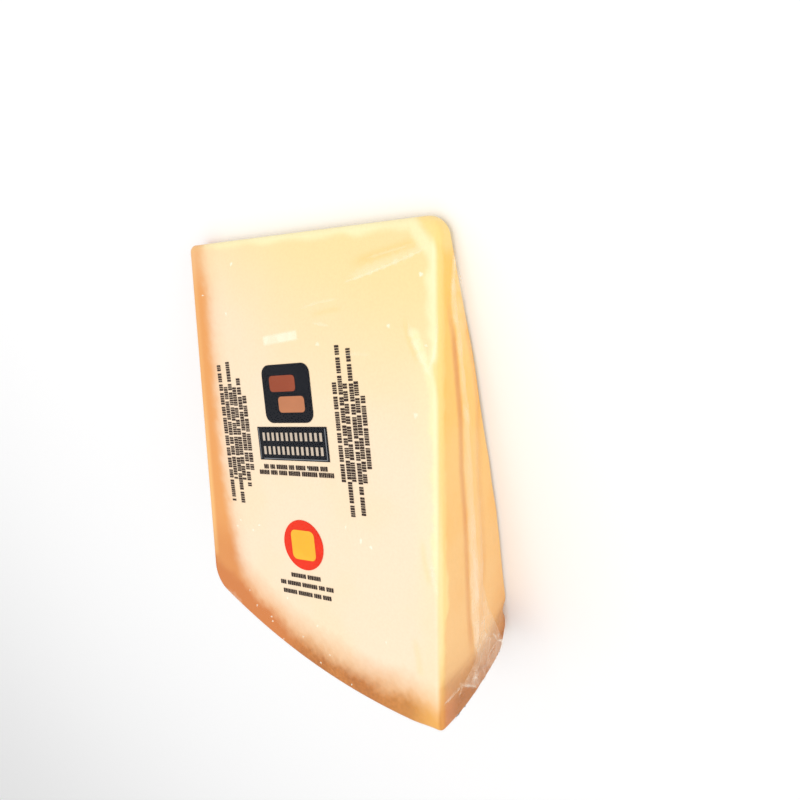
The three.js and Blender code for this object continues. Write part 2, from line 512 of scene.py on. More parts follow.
def make_crinkle_group():
    """Fine creasing of shrunk film: a height for a Bump and a value that varies the gloss."""
    group, given, result = node_group(
        "film_crinkle",
        [("Scale", "NodeSocketFloat", 120.0), ("Stretch", "NodeSocketVector", (1, 1, 1))],
        [("Height", "NodeSocketFloat"), ("Roughness", "NodeSocketFloat")],
    )
    place = group.nodes.new("ShaderNodeMapping")
    feed(group, place, {"Vector": object_place(group), "Scale": given.outputs["Stretch"]})
    waves = group.nodes.new("ShaderNodeTexNoise")
    feed(group, waves, {"Detail": 2.0, "Distortion": 0.6})
    feed(group, waves, {"Vector": place.outputs[0], "Scale": given.outputs["Scale"]})
    off_middle = reckon(group, "ABSOLUTE", reckon(group, "SUBTRACT", waves.outputs["Fac"], 0.5))
    feed(group, result, {
        "Height": ramped(group, off_middle, 0.0, 0.16),
        "Roughness": ramped(group, waves.outputs["Fac"], 0.3, 0.7, 0.1, 0.24),
    })
    return group


def bumped(tree, shader, height, strength, distance):
    bump = tree.nodes.new("ShaderNodeBump")
    feed(tree, bump, {"Strength": strength, "Distance": distance, "Height": height})
    feed(tree, shader, {"Normal": bump.outputs[0]})


PASTE_AT_TIP = tone(246, 219, 158)
PASTE_AT_RIM = tone(247, 223, 193)
PASTE_PATCH = tone(245, 216, 160)
# painted shade: the middle face's paste, deeper and more golden than the printed face's
MIDDLE_PAINTED_SHADE = tone(252, 199, 96)
MIDDLE_PAINTED_SHADE_LOW = tone(243, 186, 113)
# painted highlight along the near edge, the tip's edge and beside the nose
NEAR_EDGE_PAINTED_HIGHLIGHT = tone(246, 236, 185)
# painted yellow light along the near edge and over the nose
PAINTED_YELLOW_LIGHT = tone(247, 216, 136)
# painted shadow beside the seam
SEAM_PAINTED_SHADOW = tone(226, 156, 84)
# painted shade beside the creases
CREASE_PAINTED_SHADE = tone(246, 206, 130)
RIND_ORANGE = tone(231, 159, 90)
RIND_RUST = tone(209, 126, 66)
RIND_GOLD = tone(234, 172, 88)
RIND_DEEP = tone(184, 110, 34)
FADE_WARM = tone(242, 174, 102)
# painted highlight along the edge between the printed face and the flat rind
RIND_EDGE_PAINTED_HIGHLIGHT = tone(250, 204, 136)
RIND_BROWN = tone(193, 122, 60)
RIND_DARK = tone(162, 94, 46)

mottle = make_mottle_group()
crinkle = make_crinkle_group()


def cheese_material():
    """Paste and rind in one; the values that cheese_values() gives say where each tone goes."""
    material, tree, shader = new_material("cheese_paste_and_rind")
    paste = toned(tree, PASTE_AT_TIP, ("low_on_face", PASTE_AT_RIM))
    # the middle face's paste, with its painted shade
    gold = toned(tree, MIDDLE_PAINTED_SHADE, ("low_on_face", MIDDLE_PAINTED_SHADE_LOW))
    cut = toned(
        tree, paste, ("middle_painted_shade", gold), ("seam_painted_shadow", SEAM_PAINTED_SHADOW), ("crease_painted_shade", CREASE_PAINTED_SHADE),
        ("painted_yellow_light", PAINTED_YELLOW_LIGHT), ("painted_edge_highlight", NEAR_EDGE_PAINTED_HIGHLIGHT),
    )
    cut = use_group(
        tree, mottle, Color=cut, Patch_Color=PASTE_PATCH, Patches=0.2, Patch_Scale=28.0, Grain=0.03,
        Grain_Scale=900.0,
    )
    rind = use_group(
        tree, mottle, Color=toned(tree, RIND_BROWN, ("rind_deep", RIND_DEEP)), Patch_Color=RIND_DARK,
        Patches=0.35, Patch_Scale=90.0, Grain=0.22, Grain_Scale=700.0,
    )
    side_colour = toned(tree, RIND_ORANGE, ("rusty", RIND_RUST), ("edge_painted_highlight", RIND_EDGE_PAINTED_HIGHLIGHT))
    rim_colour = toned(tree, rind.outputs["Color"], ("rusty", RIND_RUST), ("gold_rind", RIND_GOLD))
    brown = toned(
        tree, cut.outputs["Color"], ("side_browning", side_colour), ("rim_browning", rim_colour),
        ("fade_warmth", FADE_WARM),
    )
    bare = use_group(
        tree, mottle, Color=toned(tree, side_colour, ("rim_browning", rim_colour)),
        Patch_Color=RIND_BROWN, Patches=0.5, Patch_Scale=60.0, Grain=0.2, Grain_Scale=620.0,
    )
    bared = toned(tree, brown, ("bare_rind", bare.outputs["Color"]))
    feed(tree, shader, {"Base Color": bared, "Roughness": 0.55, "Specular IOR Level": 0.2})
    bumped(tree, shader, cut.outputs["Height"], 0.25, 0.0003)
    return material


def film_material():
    """Clear film: only its gloss shows, stronger where it is seen at a low angle."""
    material, tree, shader = new_material("clear_film")
    fresnel = tree.nodes.new("ShaderNodeFresnel")
    feed(tree, fresnel, {"IOR": 1.2})
    gloss_share = reckon(tree, "MINIMUM", fresnel.outputs[0], 0.045)
    fine = use_group(tree, crinkle, Scale=55.0)
    feed(tree, shader, {"Metallic": 1.0, "Base Color": (1, 1, 1, 1), "Alpha": gloss_share})
    feed(tree, shader, {"Roughness": fine.outputs["Roughness"]})
    bumped(tree, shader, fine.outputs["Height"], 0.12, 0.0004)
    return material


def folded_film_material(name, colour, crinkle_scale, stretch):
    """Doubled and creased film: a pale haze over what lies under it, with a gloss."""
    material, tree, shader = new_material(name)
    fine = use_group(tree, crinkle, Scale=crinkle_scale, Stretch=stretch)
    streaks = ramped(tree, fine.outputs["Height"], 0.0, 1.0, 1.25, 0.8)
    streaked = reckon(tree, "MULTIPLY", value_of(tree, "haze"), streaks)
    feed(tree, shader, {"Base Color": colour, "Alpha": streaked, "Roughness": fine.outputs["Roughness"]})
    bumped(tree, shader, fine.outputs["Height"], 0.3, 0.0004)
    return material


def ink_material(name, colour):
    """Ink on the inside of the film, a little thinner in patches."""
    material, tree, shader = new_material(name)
    thin_ink = tuple(min(1.0, c * 1.25 + 0.004) for c in colour[:3]) + (1.0,)
    worn = use_group(
        tree, mottle, Color=colour, Patch_Color=thin_ink, Patches=0.3, Patch_Scale=120.0, Grain=0.05,
        Grain_Scale=900.0,
    )
    feed(tree, shader, {"Base Color": worn.outputs["Color"], "Roughness": 0.45, "Specular IOR Level": 0.05})
    bumped(tree, shader, worn.outputs["Height"], 0.04, 0.0002)
    return material


# ---------------------------------------------------------------- lay-out of the seam, in (s, t)

SEAM_LEFT = [
    (40, 2.6), (47, 0.4), (52, -1.2), (58, -1.8), (63, -1.3), (68, -0.2), (100, 0), (118, -2), (134, -2),
    (155, -3.4), (174, -5), (198, -5),
]
SEAM_RIGHT = [
    (40, 4.6), (47, 6.6), (54, 8), (62, 7.6), (70, 8), (80, 10), (95, 11.2), (110, 9.5), (127, 8.4),
    (162, 8.2), (171, 6.2), (198, 2),
]
STRIPE_RIGHT = [(40, 3.4), (47, 2.6), (60, 2.2), (100, 4.4), (134, 3.4), (164, 3.5), (185, 1.2), (198, -0.8)]


def between(places, s):
    """A value read off a list of (place, value) pairs."""
    return np.interp(s, [p[0] for p in places], [p[1] for p in places])


# ---------------------------------------------------------------- cheese and film

CHEESE_INSET = 0.45
FILM_LIFT = 0.6  # the furthest that the film stands off the pack's tightest outline

# A painted highlight line cuts the nose's painted yellow light off from the printed face: a place on it in
# (x, r) and its slope
NOSE_PLACE = (-10.3, 31.2)
NOSE_SLOPE = (0.776, -0.630)

# How wide the painted highlight beside the near edge is, by distance from the wheel's axis
PAINTED_HIGHLIGHT_WIDTH = [(28, 3.6), (60, 3.3), (90, 2.9), (130, 2.4), (145, 2.4), (165, 1.2), (183, 0.5), (205, 0.0)]
PAINTED_HIGHLIGHT_SOFTNESS = 3.0

# The near edge's painted highlight is broken by a notch of painted yellow light; a painted pale streak of
# highlight, in (x, r), runs into it there
NOTCH_START = 76.0
NOTCH_END = 86.0
NOTCH_DEPTH = 3.2
PAINTED_HIGHLIGHT_STREAK = [(-10.0, 66.8), (-8.9, 69.8), (-7.0, 74.2), (-5.1, 78.8), (-3.6, 84.9), (-2.5, 90.2)]

PAINTED_YELLOW_LIGHT_WIDTH = [
    # how far the painted yellow light reaches down the middle face, by distance from the wheel's axis
    (30, 3.4), (70, 4.2), (95, 3.4), (125, 4.6), (146, 4.4), (160, 6.2), (164, 6.4), (170, 3.8),
    (182, 3.0), (205, 2.6),
]

# How brown the rind turns the cheese, by depth below the rim: on the printed face and on the middle face
RIM_FADE = [(5.4, 1), (6.8, 0.92), (8.4, 0.78), (10.2, 0.54), (12.2, 0.32), (14.4, 0.2), (17, 0.1), (21, 0)]
RIM_FADE_ON_MIDDLE = [(8.5, 1), (11, 0.84), (18.5, 0.66), (20.2, 0.4), (22.5, 0.18), (26, 0.1), (34, 0)]
GOLD_TOWARDS_NEAR_EDGE = [(-32, 0.0), (-21, 0.13), (-14, 0.28), (-10, 0.52), (-5, 0.9), (0, 1)]

# The band beside the flat rind: how wide it is in full colour, by distance from the axis, and how it fades
SIDE_BAND_WIDTH = [
    (36, 5.6), (53, 6.7), (75, 6.8), (100, 6.6), (123, 7.0), (137, 9.0), (150, 10.9), (162, 12.2),
    (170, 13.6), (178, 15.5),
]
SIDE_FADE = [(0, 1), (1.5, 0.9), (3, 0.7), (4.3, 0.5), (6.2, 0.28), (8, 0.13), (11, 0.05), (14, 0)]
CREASE_PAINTED_SHADES = [
    # painted shade beside the film's creases: path in (x, r), width and strength
    ([(-39, 42.6), (-27, 40.0), (-15, 37.6), (-7, 36.2)], 6.0, 0.75),
    ([(-58, 60.4), (-48, 58.6), (-40, 57.6)], 3.4, 0.3),
    ([(-14.5, 60), (-12.8, 68), (-8.6, 78)], 3.6, 0.35),
    ([(-8, 138), (-7.2, 147), (-4.6, 158)], 4.0, 0.3),
    ([(-12, 176), (-10, 186), (-9, 194)], 5.0, 0.25),
]

SKIN_FINE = 0.5
SKIN_STEP = 0.95
SKIN_STEP_AROUND = 1.6

across = stations(HALF_HEIGHT, SKIN_FINE, SKIN_STEP)
along = stations(WHEEL_RADIUS - TIP_RADIUS, SKIN_FINE, SKIN_STEP)
around = stations(WHEEL_RADIUS * WEDGE_ANGLE, SKIN_FINE, SKIN_STEP_AROUND)
start, quads = wrapped_grid(across, along, around)
skin = settle(start)
skin_out = outward(skin)
skin_out /= np.linalg.norm(skin_out, axis=1)[:, None]


def path_distance(flat, path):
    """For each flat place, its distance to a path and how far along the path the nearest spot is."""
    best = np.full(len(flat), np.inf)
    share = np.zeros(len(flat))
    for n in range(len(path) - 1):
        start_at, span = path[n], path[n + 1] - path[n]
        along_span = np.clip(((flat - start_at) @ span) / (span @ span), 0, 1)
        away = np.linalg.norm(flat - start_at - along_span[:, None] * span, axis=1)
        nearer = away < best
        best[nearer] = away[nearer]
        share[nearer] = (n + along_span[nearer]) / (len(path) - 1)
    return best, share


def painted_crease_shades(flat):
    """How deep the painted shade beside the creases is at flat places of the printed face."""
    shade = np.zeros(len(flat))
    for corners, width, strength in CREASE_PAINTED_SHADES:
        away, share = path_distance(flat, np.array(corners, float))
        ends = smooth(0, 0.3, share) * fading(0.75, 1, share)
        shade = np.maximum(shade, strength * ends * fading(0, width / 2, away))
    return shade


# Below, smooth() and fading() say over which millimetres a tone comes in and goes out.

class SkinPlaces:
    """Places on the skin, measured from the faces and edges that the colours follow."""

    def __init__(self, points, out):
        self.points, self.out = points, out
        self.x, y, self.z = points.T
        self.radius = np.hypot(y, self.z)
        self.flat = np.stack([self.x, self.radius], axis=1)
        self.rim, self.rind = rind_distances(points)
        self.along, self.across = reach(y, self.z), aside(y, self.z)
        self.from_near_edge = np.maximum(-self.x, 0)
        self.below_front = np.maximum(-front_distance(points), 0)
        self.faces_middle = smooth(0.25, 0.95, out[:, 0])
        self.off_middle = 1 - self.faces_middle
        self.faces_tip = smooth(0.35, 0.85, out[:, 1])
        upward = out[:, 2] * math.cos(WEDGE_ANGLE) + out[:, 1] * math.sin(WEDGE_ANGLE)
        self.faces_front = smooth(0.6, 0.95, upward)
        self.turned_away = -out[:, 0]
        self.turned_to_rim = (out[:, 1] * y + out[:, 2] * self.z) / self.radius


def notch_share(at):
    """The notch of painted yellow light in the near edge's painted highlight."""
    starts = smooth(NOTCH_START - 3, NOTCH_START + 2, at.radius)
    ends = smooth(NOTCH_END - 4, NOTCH_END + 5, at.radius)
    return starts * (1 - ends) * fading(NOTCH_DEPTH - 0.9, NOTCH_DEPTH + 0.9, at.from_near_edge)


def past_nose(at):
    """Distance past the line that cuts the nose's painted yellow light off."""
    return NOSE_SLOPE[0] * (at.x - NOSE_PLACE[0]) + NOSE_SLOPE[1] * (at.radius - NOSE_PLACE[1])


def near_edge_painted_highlight(at):
    """The painted highlight along the printed face's near edge, with its painted streak."""
    uneven = 0.9 * ripples(at.radius, 24, 3) + 0.5 * ripples(at.radius, 7, 4)
    width = between(PAINTED_HIGHLIGHT_WIDTH, at.radius) + uneven * fading(135, 165, at.radius)
    clear_glow = fading(width, width + PAINTED_HIGHLIGHT_SOFTNESS, at.from_near_edge)
    wide_glow = 0.3 * fading(3, 14, at.from_near_edge) * smooth(50, 90, at.radius)
    from_streak = path_distance(at.flat, np.array(PAINTED_HIGHLIGHT_STREAK, float))[0]
    streak = 0.9 * fading(0.7, 2.8, from_streak)
    glow = np.maximum(np.maximum(clear_glow, wide_glow) * (1 - notch_share(at)), streak)
    return glow * (1 - 0.65 * smooth(146, 170, at.radius))


def painted_edge_highlights(at):
    """Painted highlights in the cheese's colour along the near edge, the tip's edge and the line beside the
    nose.
    """
    tip_width = 2.4 + 0.6 * ripples(at.x, 18, 5)
    tip_glow = fading(tip_width, tip_width + PAINTED_HIGHLIGHT_SOFTNESS, at.along - TIP_REACH)
    beside_nose = fading(0.9, 3.6, np.abs(past_nose(at)))
    beside_nose *= smooth(-15, -10, at.x) * fading(43, 48, at.radius)
    pale = np.maximum(near_edge_painted_highlight(at), np.maximum(tip_glow, at.faces_tip))
    pale = np.maximum(pale, beside_nose) * at.off_middle
    pale *= (at.faces_front + at.faces_tip + (1 - at.faces_front) * 0.6).clip(0, 1) * smooth(2, 9, at.z)
    on_middle = fading(0.2, 3.4, at.below_front) * at.faces_middle * fading(178, 196, at.radius)
    on_middle *= 0.1 + 0.6 * smooth(110, 150, at.radius)
    nose = smooth(0.8, 4.2, past_nose(at))
    return np.clip(np.maximum(pale, on_middle), 0, 1) * (1 - nose)


def painted_yellow_lights(at):
    """Painted yellow light down the middle face, in the notch and over the nose."""
    width = between(PAINTED_YELLOW_LIGHT_WIDTH, at.radius) + 0.35 * ripples(at.radius, 9, 9)
    yellow = fading(width - 1.2, width + 1.2, at.below_front) * at.faces_middle
    yellow *= 0.68 + 0.32 * smooth(135, 155, at.radius) * fading(165, 178, at.radius)
    yellow *= 1 - 0.4 * smooth(186, 200, at.radius)
    yellow = np.maximum(yellow, 0.8 * notch_share(at) * at.off_middle)
    return np.maximum(yellow, 0.85 * smooth(0.8, 4.2, past_nose(at)))


def painted_shadow_beside_seam(at):
    """Painted shadow on both sides of the film's seam, deeper on its left."""
    left = between(SEAM_LEFT, at.along) - at.across
    right = at.across - between(SEAM_RIGHT, at.along)
    beside = np.maximum(
        fading(0.6, 3.4, left) * smooth(-2, 0, left),
        0.45 * fading(0.5, 5, right) * smooth(-2, 0, right),
    )
    return beside * at.faces_middle * smooth(50, 75, at.along) * fading(185, 197, at.along)


def rim_fades(at):
    """How brown the rim turns the cheese, and how warm the fade above the brown is."""
    wobble = 0.7 * ripples(at.flat, 16, 6) + 0.45 * ripples(at.flat, 5, 8) + 0.3 * ripples(at.flat, 2.8, 10)
    thicker_brown = 3.6 * smooth(66, 102, -at.x) + 1.4 * smooth(-27, -20, at.x) * fading(-13, -8, at.x)
    thinner_brown = 1.2 * smooth(-5, -1, at.x)
    deep = -at.rim + wobble + (thinner_brown - thicker_brown) * at.off_middle
    fade = between(RIM_FADE, deep)
    browning = fade + (between(RIM_FADE_ON_MIDDLE, deep) - fade) * at.faces_middle
    from_corner_cut = -corner_cut_distance(at.points)
    at_corner_cut = fading(2.0, 9.5, from_corner_cut) * smooth(0.2, 0.6, at.out[:, 0])
    warmth = 1.2 * fade * (1 - fade) * at.off_middle
    return np.clip(np.maximum(browning, at_corner_cut), 0, 1), warmth


def side_fade(at):
    """How orange the flat rind turns the cheese beside it."""
    uneven = 0.4 * ripples(at.flat, 20, 7) + 0.35 * ripples(at.flat, 5, 14) + 0.25 * ripples(at.flat, 2.8, 15)
    past_band = -at.rind + uneven - between(SIDE_BAND_WIDTH, at.radius)
    browning = between(SIDE_FADE, past_band) * (0.75 + 0.25 * smooth(33, 52, at.radius))
    return np.maximum(browning, smooth(0.5, 0.9, at.turned_away))


def side_edge_painted_highlight(at):
    """The painted highlight along the edge where the printed face turns over into the flat rind."""
    by_depth = 0.55 * fading(3.0, 4.8, -at.rind) * (0.45 + 0.55 * smooth(85, 120, at.radius))
    line = np.maximum(0.6 * smooth(0.12, 0.55, at.turned_away), by_depth)
    return line * fading(0.62, 0.9, at.turned_away) * smooth(6, 14, at.z)


def cheese_values(points, out):
    """How far each tone of the cheese goes at each place, painted light and shade among them."""
    at = SkinPlaces(points, out)
    rim_browning, fade_warmth = rim_fades(at)
    down_face = at.radius + (16 * smooth(60, 110, -at.x) - 0.35 * at.x) * at.off_middle
    lower_end = smooth(194, 199, at.along)
    below_seam = smooth(-31, -17, at.across)
    gold_by_front = 0.6 * fading(0.5, 4.5, at.below_front) * at.faces_middle
    rusty_corner = 0.95 * smooth(60, 84, -at.x) * smooth(144, 178, at.radius)
    return {
        "low_on_face": smooth(42, 128 + 60 * at.faces_middle, down_face),
        # painted shade on the middle face
        "middle_painted_shade": at.faces_middle,
        # painted shadow beside the seam
        "seam_painted_shadow": painted_shadow_beside_seam(at),
        # painted yellow light along the near edge and over the nose
        "painted_yellow_light": painted_yellow_lights(at),
        # painted highlight along the near edge, the tip's edge and beside the nose
        "painted_edge_highlight": painted_edge_highlights(at),
        # painted shade beside the creases
        "crease_painted_shade": painted_crease_shades(at.flat) * at.faces_front,
        "side_browning": side_fade(at),
        # painted highlight along the edge between the printed face and the flat rind
        "edge_painted_highlight": side_edge_painted_highlight(at),
        "bare_rind": smooth(0.64, 0.95, np.maximum(at.turned_away, at.turned_to_rim)),
        "rusty": np.maximum(rusty_corner, 0.75 * at.faces_middle * (1 - below_seam) * lower_end),
        "rind_deep": at.faces_middle * below_seam * smooth(194, 204, at.along),
        "fade_warmth": fade_warmth,
        "gold_rind": np.maximum(between(GOLD_TOWARDS_NEAR_EDGE, at.x) * at.off_middle, gold_by_front),
        "rim_browning": rim_browning,
    }


cheese = mesh_piece("cheese_body", skin - CHEESE_INSET * skin_out, quads, cheese_material())
for value_name, values in cheese_values(skin, skin_out).items():
    give_values(cheese, value_name, values)
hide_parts("cheese_pack")


def film_height(points):
    """How far the film stands off its tightest place; it lies flat against the rear cut face."""
    x, y, z = points.T
    radius = np.hypot(y, z)
    gentle = 0.1 * (1 + ripples(points, 26, 11))
    near_edge = fading(2, 9, np.hypot(x, front_distance(points)))
    puckers = 0.16 * (1 + ripples(np.stack([x * 0.5, radius], axis=1), 7, 12)) * near_edge
    return np.clip(gentle + puckers, 0, FILM_LIFT) * smooth(1.5, 5, z)


film_places = skin + film_height(skin)[:, None] * skin_out
film = mesh_piece("film_skin", film_places, quads, film_material())
lets_light_through(film)

# ---------------------------------------------------------------- seam and gathered corner

GATHER_OUTLINE = [
    # in (s, t)
    (163, -0.5), (180, -2.6), (192, -3.0), (199.2, -3.6), (200.6, -8), (201.2, -15.9), (206, -10.4),
    (211.2, -4.7), (216.2, 4), (215.2, 15), (210.4, 23.6), (207.2, 22.0), (198.5, 17.0), (185, 10.6),
    (171, 6.0), (163, 4.4),
]

MIDDLE_CREASES = [
    # path in (s, t), width, height, haze; the haze is the film's whitening in the fold and partly a painted
    # highlight along the crest
    ([(198.2, -31.0), (199.8, -23.6), (201.2, -15.9)], 1.5, 0.35, 0.3),
    ([(201.2, -15.9), (201.0, -10.5), (200.4, -7.4), (199.2, -3.5), (189, -2.7)], 1.3, 0.45, 0.22),
    ([(201.2, -15.9), (206.0, -10.4), (211.6, -4.2)], 1.3, 0.3, 0.42),
    ([(198.4, -18.6), (201.2, -15.9), (204.4, -13.0)], 1.4, 0.4, 0.2),
    ([(201.2, -15.9), (204.2, -19.4)], 1.4, 0.35, 0.22),
    ([(207.9, -7.3), (204.9, -6.2), (201.9, -5.6)], 1.3, 0.3, 0.36),
    ([(204.9, -9.4), (204.9, -6.2), (206.0, -2.4)], 1.3, 0.3, 0.34),
    ([(202.6, -8.8), (204.9, -6.2), (208.2, -3.8)], 1.3, 0.3, 0.3),
    ([(197.0, 12.2), (200.2, 14.0), (203.2, 15.7)], 1.4, 0.3, 0.34),
    ([(203.2, 15.7), (205.6, 18.9), (208.0, 21.9)], 1.4, 0.3, 0.42),
    ([(203.2, 15.7), (204.1, 12.0), (204.3, 8.0), (206.8, 3.6)], 1.4, 0.3, 0.26),
    ([(200.4, 18.2), (203.2, 15.7), (206.4, 14.6)], 1.3, 0.25, 0.3),
    ([(206.4, 2.4), (209.6, 7.6), (212.4, 13.4)], 1.5, 0.3, 0.16),
    ([(186, 5.0), (193, 7.4), (199, 11.0)], 1.8, 0.3, 0.12),
    ([(184, 1.6), (190, 1.2), (196, 2.0), (201, 4.0)], 1.6, 0.3, 0.12),
    ([(163, 4.6), (171, 6.3), (185, 10.9), (198.5, 17.2), (207, 22.0)], 1.3, 0.3, 0.13),
]

# How far the sheet of film reaches to both sides, by s, so that it holds the seam, the corner and the creases
SHEET_LEFT = [(38, 1), (47, -2.4), (100, -3.2), (160, -5.2), (190, -7.5), (199, -31), (206, -31), (218, -29)]
SHEET_RIGHT = [
    (38, 5), (47, 7.2), (60, 9), (95, 12.6), (160, 9.6), (172, 8.4), (199, 19.5), (207, 25), (218, 26),
]
# the creases' haze is the film's whitening in the fold and partly a painted highlight
CREASE_HAZE_AND_HIGHLIGHT = 1.05


def depth_inside(flat, outline):
    """Distance in from a closed outline; negative outside it."""
    ring = np.array(outline + outline[:1], float)
    away, _ = path_distance(flat, ring)
    within = np.zeros(len(flat), bool)
    for (s1, t1), (s2, t2) in zip(ring[:-1], ring[1:]):
        if t1 == t2:
            continue
        crossing = (t1 > flat[:, 1]) != (t2 > flat[:, 1])
        within ^= crossing & (flat[:, 0] < s1 + (flat[:, 1] - t1) * (s2 - s1) / (t2 - t1))
    return np.where(within, away, -away)


def crease_at(flat, corners, width, height, haze, seed):
    """Height and haze that one pinched crease adds."""
    away, share = path_distance(flat, along_path(corners, 1.2))
    ends = np.clip(np.minimum(share, 1 - share) * 6, 0.1, 1)
    thick = width / 2 * (1 + 0.2 * ripples(share * 20, 6, seed)) * (0.6 + 0.4 * ends)
    crest = np.clip(1 - away / thick, 0, 1)
    return height * crest ** 1.2 * ends, haze * crest ** 0.7 * ends


def seam_at(flat):
    """Height and haze of the welded seam: a rolled bead on its left and a flat band beside it."""
    s_at, t_at = flat.T
    left = between(SEAM_LEFT, s_at) + 0.25 * ripples(s_at, 14, 21)
    split = between(STRIPE_RIGHT, s_at) + 0.3 * ripples(s_at, 18, 22)
    right = between(SEAM_RIGHT, s_at) + 0.35 * ripples(s_at, 9, 23)
    bead = np.clip((t_at - left) / (split - left), 0, 1)
    rolled = np.sin(bead * math.pi) ** 0.7
    band = smooth(-0.1, 0.5, t_at - left) * fading(-0.9, 0.1, t_at - right)
    crumple = np.clip(0.5 + 0.5 * ripples(np.stack([s_at * 0.35, t_at * 2.2], axis=1), 5, 24), 0, 1)
    ends = smooth(39, 45, s_at) * fading(190, 199, s_at)
    blotches = np.clip(0.5 + 0.5 * ripples(flat, 7, 25), 0, 1) * fading(62, 84, s_at)
    height = (0.65 * rolled + (0.18 + 0.2 * crumple) * band) * ends
    clearer = 1 - 0.6 * smooth(80, 105, s_at) * fading(138, 165, s_at)
    return height, (0.2 * rolled + (0.11 + 0.06 * crumple + 0.14 * blotches) * clearer * band) * ends


def facets_at(flat, spacing, seed):
    """Crumpled film: how near a place is to a ridge, how far off its facet's middle, and the facet's tone."""
    draw = np.random.default_rng(seed)
    low, high = flat.min(axis=0), flat.max(axis=0)
    count = int(np.prod(high - low) / spacing ** 2)
    middles = draw.uniform(low, high, (count, 2))
    tones = draw.uniform(0, 1, count)
    away = np.linalg.norm(flat[:, None] - middles[None], axis=2)
    order = np.argsort(away, axis=1)[:, :2]
    nearest = np.take_along_axis(away, order, axis=1)
    ridge = fading(0.0, 0.9, nearest[:, 1] - nearest[:, 0])
    return ridge, np.clip(nearest[:, 0] / spacing, 0, 1), tones[order[:, 0]]


def gather_at(flat):
    """Height and haze of the gathered corner, which fans out below the seam."""
    inside = depth_inside(flat, GATHER_OUTLINE)
    from_head = flat - np.array([165.0, 1.5])
    turn = np.arctan2(from_head[:, 1], from_head[:, 0])
    fan = np.stack([turn * 40, np.hypot(*from_head.T) * 0.18], axis=1)
    pleats = 1 - np.abs(ripples(fan, 5.5, 31)).clip(0, 1)
    ridge, off_middle, facet = facets_at(flat, 6.5, 32)
    soft = smooth(0, 0.7, inside)
    low = smooth(166, 190, flat[:, 0])
    flatter = 1 - 0.8 * smooth(203, 209, flat[:, 0])
    crumpled = 0.3 + 0.7 * low
    height = soft * (0.16 + (0.14 * pleats ** 2 + 0.24 * ridge + 0.3 * off_middle) * crumpled) * flatter
    haze = 0.07 + 0.05 * pleats ** 3 + (0.12 * facet + 0.1 * ridge) * crumpled
    return height, soft * haze * (1 - 0.7 * smooth(209, 214, flat[:, 0]))


def middle_sheet():
    """One sheet that carries the seam, the gathered corner and the creases of the middle face."""
    s_at = np.concatenate([np.arange(38, 160, 1.2), np.arange(160, 218, 0.37)])
    left, right = between(SHEET_LEFT, s_at), between(SHEET_RIGHT, s_at)
    share = np.linspace(0, 1, 160)
    t_at = left[:, None] + (right - left)[:, None] * share
    flat = np.stack([np.broadcast_to(s_at[:, None], t_at.shape), t_at], axis=-1).reshape(-1, 2)
    seam_height, seam_haze = seam_at(flat)
    gather_height, gather_haze = gather_at(flat)
    height = np.maximum(seam_height, gather_height * (1 - 0.6 * (seam_height > 0.3)))
    haze = np.maximum(seam_haze, gather_haze)
    for number, crease in enumerate(MIDDLE_CREASES):
        more_height, more_haze = crease_at(flat, *crease, 60 + number)
        height = height + more_height
        haze = np.maximum(haze, CREASE_HAZE_AND_HIGHLIGHT * more_haze + 0.5 * haze)
    height = np.minimum(height, FLAP_PROUD - 3 * SHEET_GAP)
    shape = t_at.shape
    places = on_middle_face(flat[:, 0], flat[:, 1]).reshape(*shape, 3)
    return sheet(places, height.reshape(shape), haze.reshape(shape))


seam_film = folded_film_material("folded_seam_film", tone(255, 244, 222), 70.0, (1.0, 0.4, 1.0))
joined_sheets("film_seam_and_gathered_corner", [middle_sheet()], seam_film)

# ---------------------------------------------------------------- creases in the film

crease_film = folded_film_material("creased_film", tone(255, 250, 226), 90.0, (1.0, 1.0, 1.0))
PRINTED_CREASES = [
    # path in (x, r), width, height, haze; the haze is the film's whitening in the fold and partly a painted
    # highlight along the crest
    ([(-38.5, 46.8), (-30, 44.8), (-19.4, 42.0), (-10, 39.4), (-3.4, 37.6)], 3.6, 0.45, 0.17),
    ([(-41, 48.9), (-30, 46.2), (-19.4, 43.3), (-10, 40.5), (-4.4, 38.7)], 1.3, 0.3, 0.34),
    ([(-30, 40.8), (-20, 38.9), (-9, 37.0)], 1.2, 0.2, 0.16),
    ([(-55, 63.0), (-51.9, 63.3), (-46.5, 64.0)], 1.5, 0.3, 0.3),
    ([(-62, 57.8), (-52, 55.4), (-41.5, 54.0)], 1.3, 0.25, 0.16),
    ([(-12.5, 62.5), (-10.5, 68), (-5.8, 77), (-3.1, 82)], 3.0, 0.5, 0.22),
    ([(-0.8, 60), (-1.2, 68), (-2.6, 75), (-4.6, 79)], 1.6, 0.45, 0.25),
    ([(-40, 74.5), (-34, 74.0), (-28, 74.4)], 1.6, 0.25, 0.12),
    ([(-111.6, 182.7), (-106, 184.6), (-101.5, 187.9)], 2.0, 0.5, 0.2),
    ([(-4.0, 146), (-3.2, 153), (-1.0, 160)], 2.2, 0.4, 0.2),
]


def fold_lines(place, rows, first_seed):
    """The creases of one face, each with a seed of its own."""
    return [fold_line(place, *row, first_seed + number) for number, row in enumerate(rows)]


joined_sheets("film_creases_printed_face", fold_lines(on_printed_face, PRINTED_CREASES, 40), crease_film)


def on_rim(x, arc):
    """Places on the rim; arc is counted round it from the rear cut face."""
    x, arc = np.broadcast_arrays(np.asarray(x, float), np.asarray(arc, float))
    radius = rim_radius(x)
    return about_axis(x, radius, arc / radius)


